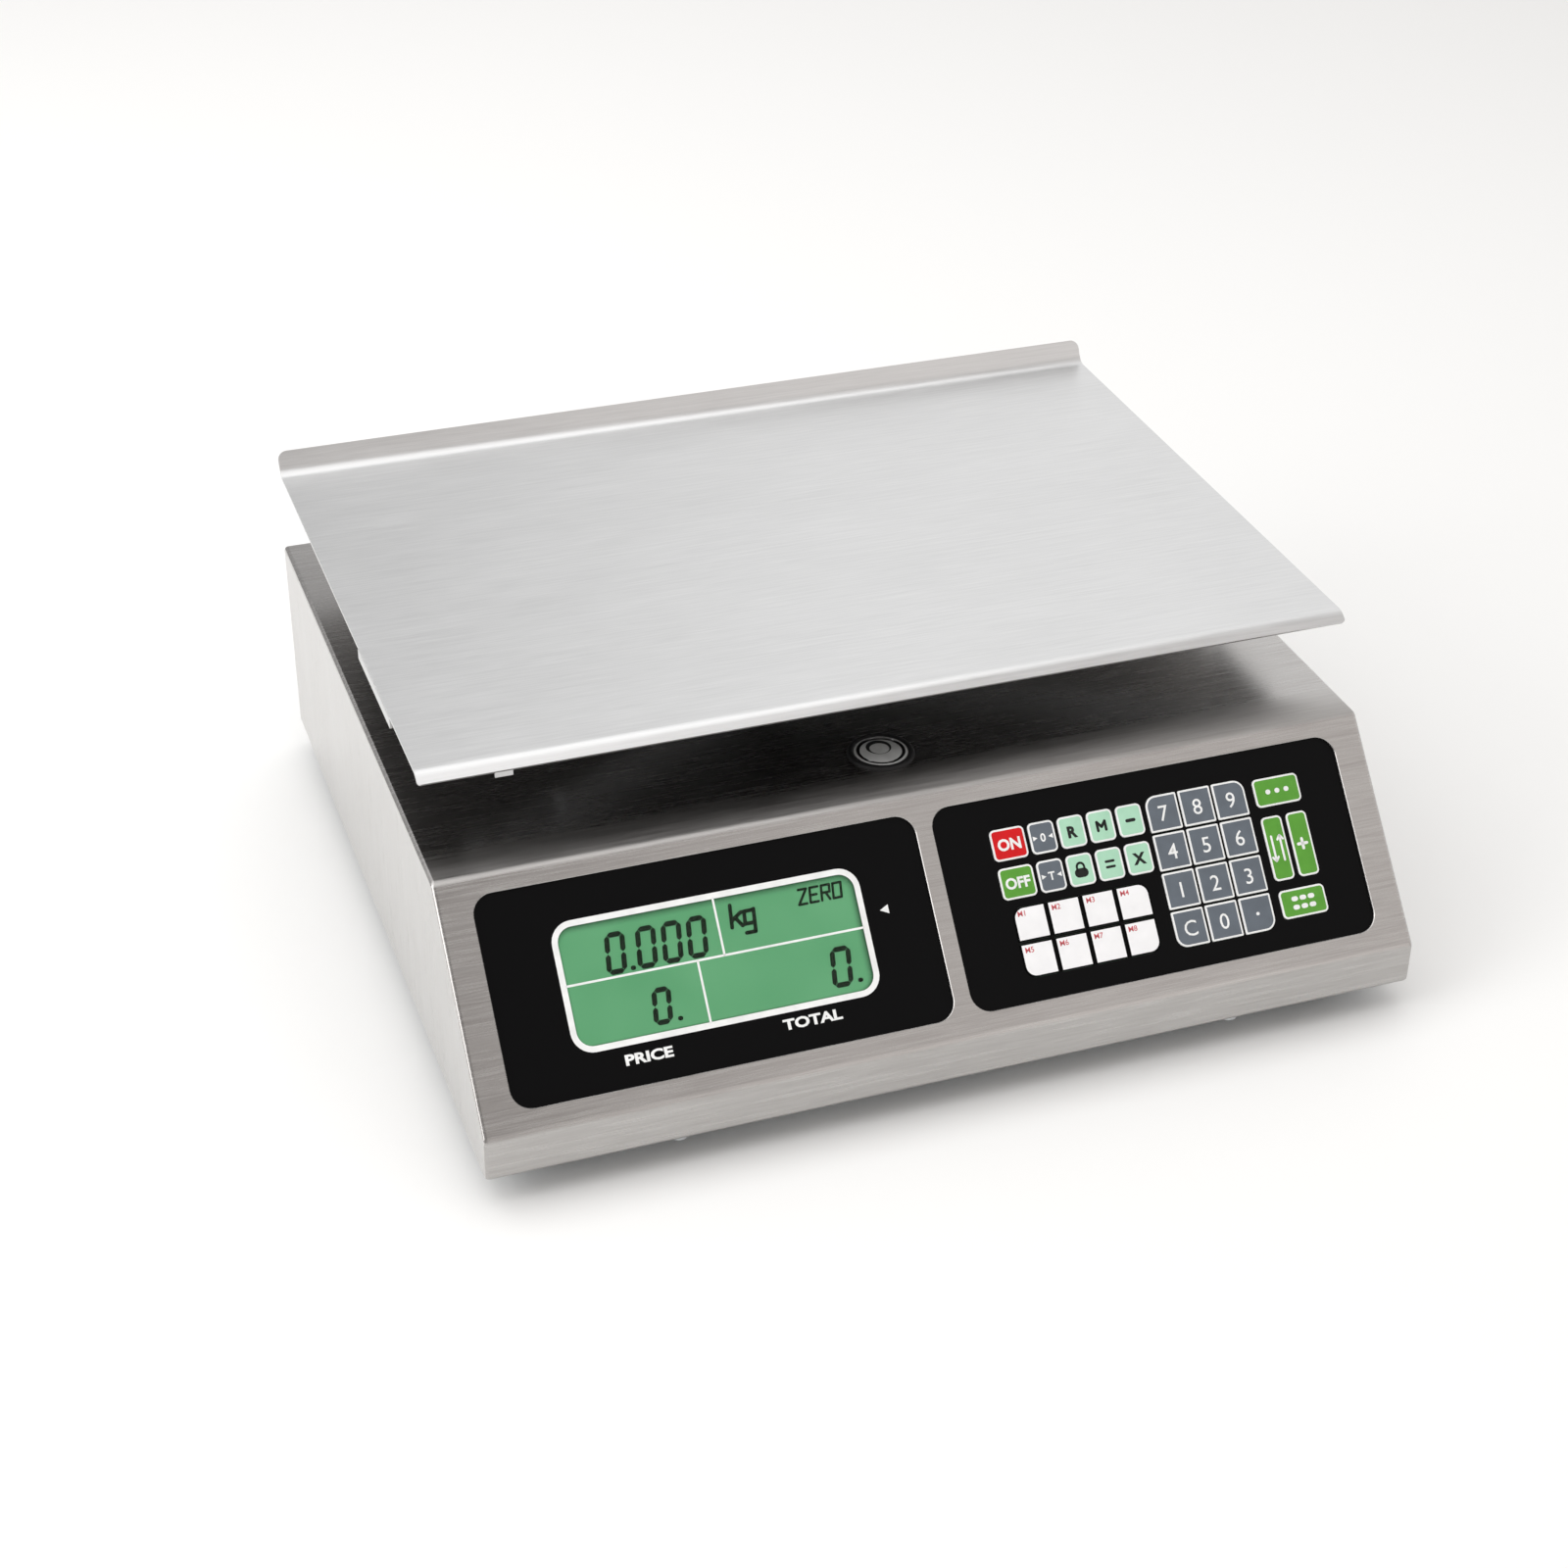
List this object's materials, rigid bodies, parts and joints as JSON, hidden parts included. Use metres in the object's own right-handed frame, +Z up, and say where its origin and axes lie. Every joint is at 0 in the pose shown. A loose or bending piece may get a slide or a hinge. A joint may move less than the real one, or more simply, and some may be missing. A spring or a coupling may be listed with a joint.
{
  "type": "price-computing counter scale",
  "caption": "Stainless counter scale with a sloped front holding a display and a keypad, and a lift-off platter on a load cell.",
  "frame": {"origin": "on the table, under the middle of the housing", "axes": "+X to the right along the front, +Y from the front to the back, +Z up"},
  "size_m": [0.38, 0.34, 0.1479],
  "materials": {
    "brushed_stainless": "brushed",
    "zinc_plated_steel": "plated",
    "steel_fasteners": "machined",
    "black_panel": "glossy film",
    "clear_window": "clear",
    "lcd_glass": "backlit display",
    "circuit_board": "lacquered",
    "battery_case": "moulded",
    "black_moulding": "moulded",
    "level_glass": "clear",
    "aluminium": "machined",
    "rubber": "moulded",
    "key_red": "satin film",
    "key_green": "satin film",
    "key_mint": "satin film",
    "key_white": "satin film",
    "key_grey": "satin film"
  },
  "bodies": {
    "housing": {"housing_cover": "brushed_stainless", "base_plate": "zinc_plated_steel", "cover_screws": "steel_fasteners", "display_panel": "black_panel", "display_window": "clear_window", "lcd_module": "lcd_glass", "keypad_panel": "black_panel", "keypad_board": "circuit_board", "main_board": "circuit_board", "battery": "battery_case", "level_cup": "black_moulding", "level_lens": "level_glass", "customer_display": "lcd_glass", "power_inlet": "black_moulding", "cell_mount": "zinc_plated_steel", "cell_screws": "steel_fasteners", "load_cell": "aluminium"},
    "weighing_spider": {"cell_bracket": "zinc_plated_steel", "spider": "aluminium", "spider_screws": "steel_fasteners", "support_pads": "rubber"},
    "platter": {"platter": "brushed_stainless"},
    "foot_front_left": {"foot_front_left": "rubber"},
    "foot_front_right": {"foot_front_right": "rubber"},
    "foot_back_left": {"foot_back_left": "rubber"},
    "foot_back_right": {"foot_back_right": "rubber"},
    "key_on": {"key_on": "key_red"},
    "key_zero": {"key_zero": "key_grey"},
    "key_recall": {"key_recall": "key_mint"},
    "key_memory": {"key_memory": "key_mint"},
    "key_minus": {"key_minus": "key_mint"},
    "key_off": {"key_off": "key_green"},
    "key_tare": {"key_tare": "key_grey"},
    "key_fix_price": {"key_fix_price": "key_mint"},
    "key_total": {"key_total": "key_mint"},
    "key_multiply": {"key_multiply": "key_mint"},
    "key_m1": {"key_m1": "key_white"},
    "key_m2": {"key_m2": "key_white"},
    "key_m3": {"key_m3": "key_white"},
    "key_m4": {"key_m4": "key_white"},
    "key_m5": {"key_m5": "key_white"},
    "key_m6": {"key_m6": "key_white"},
    "key_m7": {"key_m7": "key_white"},
    "key_m8": {"key_m8": "key_white"},
    "key_7": {"key_7": "key_grey"},
    "key_8": {"key_8": "key_grey"},
    "key_9": {"key_9": "key_grey"},
    "key_4": {"key_4": "key_grey"},
    "key_5": {"key_5": "key_grey"},
    "key_6": {"key_6": "key_grey"},
    "key_1": {"key_1": "key_grey"},
    "key_2": {"key_2": "key_grey"},
    "key_3": {"key_3": "key_grey"},
    "key_clear": {"key_clear": "key_grey"},
    "key_0": {"key_0": "key_grey"},
    "key_point": {"key_point": "key_grey"},
    "key_misc": {"key_misc": "key_green"},
    "key_change": {"key_change": "key_green"},
    "key_plus": {"key_plus": "key_green"},
    "key_count": {"key_count": "key_green"}
  },
  "joints": [
    {"name": "platter_deflection", "type": "slide", "parent": "housing", "child": "weighing_spider", "axis": [0, 0, -1], "range_m": [0, 0.0005], "stiffness_N_per_m": 400000, "springref_m": -0.00004, "deforming": ["load_cell"]},
    {"name": "platter_lift", "type": "slide", "parent": "weighing_spider", "child": "platter", "axis": [0, 0, 1], "range_m": [0, 0.08]},
    {"name": "foot_front_left_adjust", "type": "slide", "parent": "housing", "child": "foot_front_left", "axis": [0, 0, -1], "range_m": [-0.002, 0.006]},
    {"name": "foot_front_right_adjust", "type": "slide", "parent": "housing", "child": "foot_front_right", "axis": [0, 0, -1], "range_m": [-0.002, 0.006]},
    {"name": "foot_back_left_adjust", "type": "slide", "parent": "housing", "child": "foot_back_left", "axis": [0, 0, -1], "range_m": [-0.002, 0.006]},
    {"name": "foot_back_right_adjust", "type": "slide", "parent": "housing", "child": "foot_back_right", "axis": [0, 0, -1], "range_m": [-0.002, 0.006]},
    {"name": "key_on_press", "type": "slide", "parent": "housing", "child": "key_on", "axis": [0, 0.7474, -0.6644], "range_m": [0, 0.0004], "stiffness_N_per_m": 6000},
    {"name": "key_zero_press", "type": "slide", "parent": "housing", "child": "key_zero", "axis": [0, 0.7474, -0.6644], "range_m": [0, 0.0004], "stiffness_N_per_m": 6000},
    {"name": "key_recall_press", "type": "slide", "parent": "housing", "child": "key_recall", "axis": [0, 0.7474, -0.6644], "range_m": [0, 0.0004], "stiffness_N_per_m": 6000},
    {"name": "key_memory_press", "type": "slide", "parent": "housing", "child": "key_memory", "axis": [0, 0.7474, -0.6644], "range_m": [0, 0.0004], "stiffness_N_per_m": 6000},
    {"name": "key_minus_press", "type": "slide", "parent": "housing", "child": "key_minus", "axis": [0, 0.7474, -0.6644], "range_m": [0, 0.0004], "stiffness_N_per_m": 6000},
    {"name": "key_off_press", "type": "slide", "parent": "housing", "child": "key_off", "axis": [0, 0.7474, -0.6644], "range_m": [0, 0.0004], "stiffness_N_per_m": 6000},
    {"name": "key_tare_press", "type": "slide", "parent": "housing", "child": "key_tare", "axis": [0, 0.7474, -0.6644], "range_m": [0, 0.0004], "stiffness_N_per_m": 6000},
    {"name": "key_fix_price_press", "type": "slide", "parent": "housing", "child": "key_fix_price", "axis": [0, 0.7474, -0.6644], "range_m": [0, 0.0004], "stiffness_N_per_m": 6000},
    {"name": "key_total_press", "type": "slide", "parent": "housing", "child": "key_total", "axis": [0, 0.7474, -0.6644], "range_m": [0, 0.0004], "stiffness_N_per_m": 6000},
    {"name": "key_multiply_press", "type": "slide", "parent": "housing", "child": "key_multiply", "axis": [0, 0.7474, -0.6644], "range_m": [0, 0.0004], "stiffness_N_per_m": 6000},
    {"name": "key_m1_press", "type": "slide", "parent": "housing", "child": "key_m1", "axis": [0, 0.7474, -0.6644], "range_m": [0, 0.0004], "stiffness_N_per_m": 6000},
    {"name": "key_m2_press", "type": "slide", "parent": "housing", "child": "key_m2", "axis": [0, 0.7474, -0.6644], "range_m": [0, 0.0004], "stiffness_N_per_m": 6000},
    {"name": "key_m3_press", "type": "slide", "parent": "housing", "child": "key_m3", "axis": [0, 0.7474, -0.6644], "range_m": [0, 0.0004], "stiffness_N_per_m": 6000},
    {"name": "key_m4_press", "type": "slide", "parent": "housing", "child": "key_m4", "axis": [0, 0.7474, -0.6644], "range_m": [0, 0.0004], "stiffness_N_per_m": 6000},
    {"name": "key_m5_press", "type": "slide", "parent": "housing", "child": "key_m5", "axis": [0, 0.7474, -0.6644], "range_m": [0, 0.0004], "stiffness_N_per_m": 6000},
    {"name": "key_m6_press", "type": "slide", "parent": "housing", "child": "key_m6", "axis": [0, 0.7474, -0.6644], "range_m": [0, 0.0004], "stiffness_N_per_m": 6000},
    {"name": "key_m7_press", "type": "slide", "parent": "housing", "child": "key_m7", "axis": [0, 0.7474, -0.6644], "range_m": [0, 0.0004], "stiffness_N_per_m": 6000},
    {"name": "key_m8_press", "type": "slide", "parent": "housing", "child": "key_m8", "axis": [0, 0.7474, -0.6644], "range_m": [0, 0.0004], "stiffness_N_per_m": 6000},
    {"name": "key_7_press", "type": "slide", "parent": "housing", "child": "key_7", "axis": [0, 0.7474, -0.6644], "range_m": [0, 0.0004], "stiffness_N_per_m": 6000},
    {"name": "key_8_press", "type": "slide", "parent": "housing", "child": "key_8", "axis": [0, 0.7474, -0.6644], "range_m": [0, 0.0004], "stiffness_N_per_m": 6000},
    {"name": "key_9_press", "type": "slide", "parent": "housing", "child": "key_9", "axis": [0, 0.7474, -0.6644], "range_m": [0, 0.0004], "stiffness_N_per_m": 6000},
    {"name": "key_4_press", "type": "slide", "parent": "housing", "child": "key_4", "axis": [0, 0.7474, -0.6644], "range_m": [0, 0.0004], "stiffness_N_per_m": 6000},
    {"name": "key_5_press", "type": "slide", "parent": "housing", "child": "key_5", "axis": [0, 0.7474, -0.6644], "range_m": [0, 0.0004], "stiffness_N_per_m": 6000},
    {"name": "key_6_press", "type": "slide", "parent": "housing", "child": "key_6", "axis": [0, 0.7474, -0.6644], "range_m": [0, 0.0004], "stiffness_N_per_m": 6000},
    {"name": "key_1_press", "type": "slide", "parent": "housing", "child": "key_1", "axis": [0, 0.7474, -0.6644], "range_m": [0, 0.0004], "stiffness_N_per_m": 6000},
    {"name": "key_2_press", "type": "slide", "parent": "housing", "child": "key_2", "axis": [0, 0.7474, -0.6644], "range_m": [0, 0.0004], "stiffness_N_per_m": 6000},
    {"name": "key_3_press", "type": "slide", "parent": "housing", "child": "key_3", "axis": [0, 0.7474, -0.6644], "range_m": [0, 0.0004], "stiffness_N_per_m": 6000},
    {"name": "key_clear_press", "type": "slide", "parent": "housing", "child": "key_clear", "axis": [0, 0.7474, -0.6644], "range_m": [0, 0.0004], "stiffness_N_per_m": 6000},
    {"name": "key_0_press", "type": "slide", "parent": "housing", "child": "key_0", "axis": [0, 0.7474, -0.6644], "range_m": [0, 0.0004], "stiffness_N_per_m": 6000},
    {"name": "key_point_press", "type": "slide", "parent": "housing", "child": "key_point", "axis": [0, 0.7474, -0.6644], "range_m": [0, 0.0004], "stiffness_N_per_m": 6000},
    {"name": "key_misc_press", "type": "slide", "parent": "housing", "child": "key_misc", "axis": [0, 0.7474, -0.6644], "range_m": [0, 0.0004], "stiffness_N_per_m": 6000},
    {"name": "key_change_press", "type": "slide", "parent": "housing", "child": "key_change", "axis": [0, 0.7474, -0.6644], "range_m": [0, 0.0004], "stiffness_N_per_m": 6000},
    {"name": "key_plus_press", "type": "slide", "parent": "housing", "child": "key_plus", "axis": [0, 0.7474, -0.6644], "range_m": [0, 0.0004], "stiffness_N_per_m": 6000},
    {"name": "key_count_press", "type": "slide", "parent": "housing", "child": "key_count", "axis": [0, 0.7474, -0.6644], "range_m": [0, 0.0004], "stiffness_N_per_m": 6000}
  ]
}
